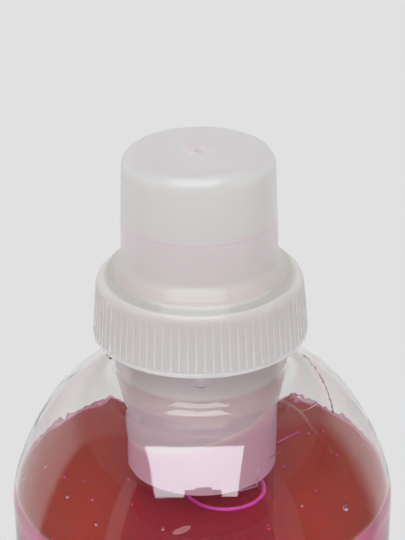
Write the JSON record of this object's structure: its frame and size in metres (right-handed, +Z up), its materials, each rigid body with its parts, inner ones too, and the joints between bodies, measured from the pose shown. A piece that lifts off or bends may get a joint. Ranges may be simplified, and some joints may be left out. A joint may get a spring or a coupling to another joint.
{
  "type": "laundry detergent bottle",
  "caption": "Clear round bottle of red liquid laundry detergent with a milky screw-on dosing cap whose measuring tube hangs in the neck.",
  "frame": {"origin": "middle of the base, on the surface that the bottle stands on", "axes": "+Z up along the bottle's axis, -Y towards the side with the front lug"},
  "size_m": [0.092, 0.092, 0.2417],
  "materials": {
    "clear_bottle": "clear glossy blown plastic",
    "milky_cap": "milky translucent moulded plastic, satin",
    "seal_foam": "soft matte foam",
    "red_liquid": "clear red liquid"
  },
  "bodies": {
    "bottle": {"bottle": "clear_bottle", "detergent": "red_liquid"},
    "seal": {"sealing_ring": "seal_foam"},
    "cap": {"dosing_cap": "milky_cap"}
  },
  "joints": [
    {"name": "cap_lift", "type": "slide", "parent": "bottle", "child": "seal", "axis": [0, 0, 1], "range_m": [0, 0.06]},
    {"name": "cap_turn", "type": "hinge", "parent": "seal", "child": "cap", "pos_m": [0, 0, 0.209], "axis": [0, 0, 1], "range_deg": [0, 720]}
  ]
}
